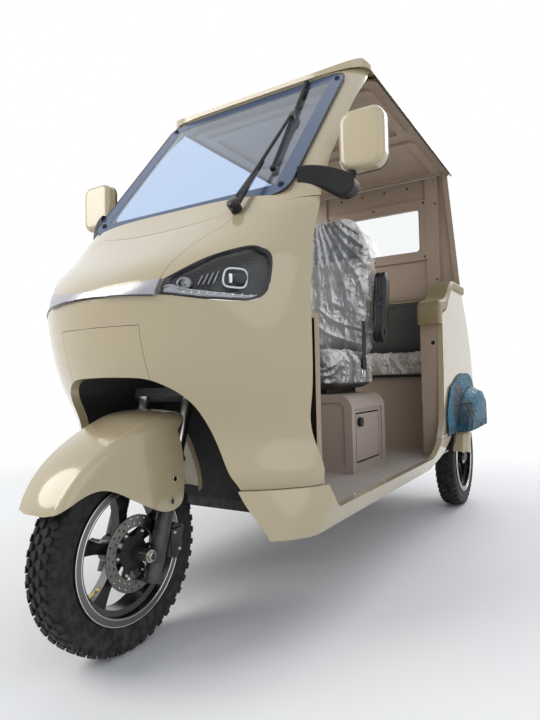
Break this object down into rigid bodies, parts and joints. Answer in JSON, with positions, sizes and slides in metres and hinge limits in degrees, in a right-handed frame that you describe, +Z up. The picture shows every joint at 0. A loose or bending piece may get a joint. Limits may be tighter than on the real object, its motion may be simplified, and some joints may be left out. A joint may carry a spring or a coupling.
{
  "type": "auto rickshaw",
  "caption": "Small three-wheeled electric passenger rickshaw with a closed nose, a windscreen, a roof, open sides, a driver's seat and a rear bench in a moulded tub.",
  "frame": {"origin": "on the ground, at the centre of the bounding box's base, midway along the length", "axes": "+Z up; the nose points to -Y; the vehicle's left side is +X"},
  "size_m": [1.144, 2.4001, 1.7151],
  "materials": {
    "cream_paint": "glossy cream body panels",
    "cap_plastic": "darker cream moulded rails",
    "beige_liner": "warm beige moulded liner",
    "grey_floor": "grey floor covering",
    "clear_glass": "clear, with a black printed edge",
    "lamp_black": "smoked lamp lens",
    "strip_black": "black light strip",
    "tail_red": "red lamp lens",
    "black_plastic": "black moulded plastic",
    "mirror_glass": "mirror",
    "frame_black": "black frame paint",
    "fork_metal": "black fork paint",
    "bright_metal": "bare steel",
    "tyre_rubber": "black tyre",
    "alloy": "dark alloy with bright rim",
    "grip_rubber": "black grip",
    "film_blue": "blue protective film",
    "seat_leather": "dark grey seat cover",
    "battery_case": "dark battery case"
  },
  "bodies": {
    "chassis": {"chassis_frame": "frame_black", "floor_pan": "grey_floor", "arch_liner": "black_plastic", "nose_fairing": "cream_paint", "nose_access_panel": "cream_paint", "hood_panel": "cream_paint", "windscreen_frame": "cream_paint", "windscreen": "clear_glass", "roof_panel": "cream_paint", "roof_lining": "beige_liner", "rear_wall": "beige_liner", "rear_window": "clear_glass", "side_sills": "cream_paint", "quarter_panels": "cream_paint", "tub_liner": "beige_liner", "tub_caps": "cap_plastic", "rear_panel": "cream_paint", "rear_fenders": "cream_paint", "fender_covers": "film_blue", "seat_box": "beige_liner", "battery_block": "battery_case", "seat_bracket": "frame_black", "seat_cushion": "seat_leather", "seat_back": "seat_leather", "bench_cushion": "seat_leather", "bench_back": "seat_leather", "dashboard": "beige_liner", "headlamps": "lamp_black", "light_strip": "strip_black", "wiper": "black_plastic", "mirror_arms": "black_plastic", "mirror_shells": "cream_paint", "mirror_glasses": "mirror_glass", "tail_lamps": "tail_red", "rear_axle": "frame_black", "leaf_springs": "frame_black"},
    "steering": {"fork_tubes": "bright_metal", "fork_sliders": "fork_metal", "front_fender": "cream_paint", "brake_caliper": "alloy", "handlebar": "frame_black", "bar_grips": "grip_rubber", "instrument_pod": "black_plastic"},
    "front_wheel": {"front_tyre": "tyre_rubber", "front_rim": "alloy", "brake_disc": "bright_metal"},
    "rear_left_wheel": {"rear_tyre_left": "tyre_rubber", "rear_rim_left": "alloy"},
    "rear_right_wheel": {"rear_tyre_right": "tyre_rubber", "rear_rim_right": "alloy"},
    "box_door": {"box_door": "beige_liner", "box_latch": "black_plastic"},
    "armrest_left": {"armrest_left": "black_plastic"},
    "armrest_right": {"armrest_right": "black_plastic"}
  },
  "joints": [
    {"name": "steering", "type": "hinge", "parent": "chassis", "child": "steering", "pos_m": [0, -0.91706, 0.22261], "axis": [0, 0.3239, 0.9461], "range_deg": [-32, 32]},
    {"name": "front_wheel_spin", "type": "hinge", "parent": "steering", "child": "front_wheel", "pos_m": [0, -0.962, 0.238], "axis": [1, 0, 0], "continuous": true},
    {"name": "rear_left_spin", "type": "hinge", "parent": "chassis", "child": "rear_left_wheel", "pos_m": [0.38, 0.918, 0.238], "axis": [1, 0, 0], "continuous": true},
    {"name": "rear_right_spin", "type": "hinge", "parent": "chassis", "child": "rear_right_wheel", "pos_m": [-0.38, 0.918, 0.238], "axis": [1, 0, 0], "continuous": true},
    {"name": "box_door_hinge", "type": "hinge", "parent": "chassis", "child": "box_door", "pos_m": [0.2605, 0.039, 0.3443], "axis": [0, 1, 0], "range_deg": [0, 75]},
    {"name": "armrest_left_fold", "type": "hinge", "parent": "chassis", "child": "armrest_left", "pos_m": [0.279, 0.16, 0.818], "axis": [1, 0, 0], "range_deg": [0, 95]},
    {"name": "armrest_right_fold", "type": "hinge", "parent": "chassis", "child": "armrest_right", "pos_m": [-0.279, 0.16, 0.818], "axis": [1, 0, 0], "range_deg": [0, 95]}
  ]
}
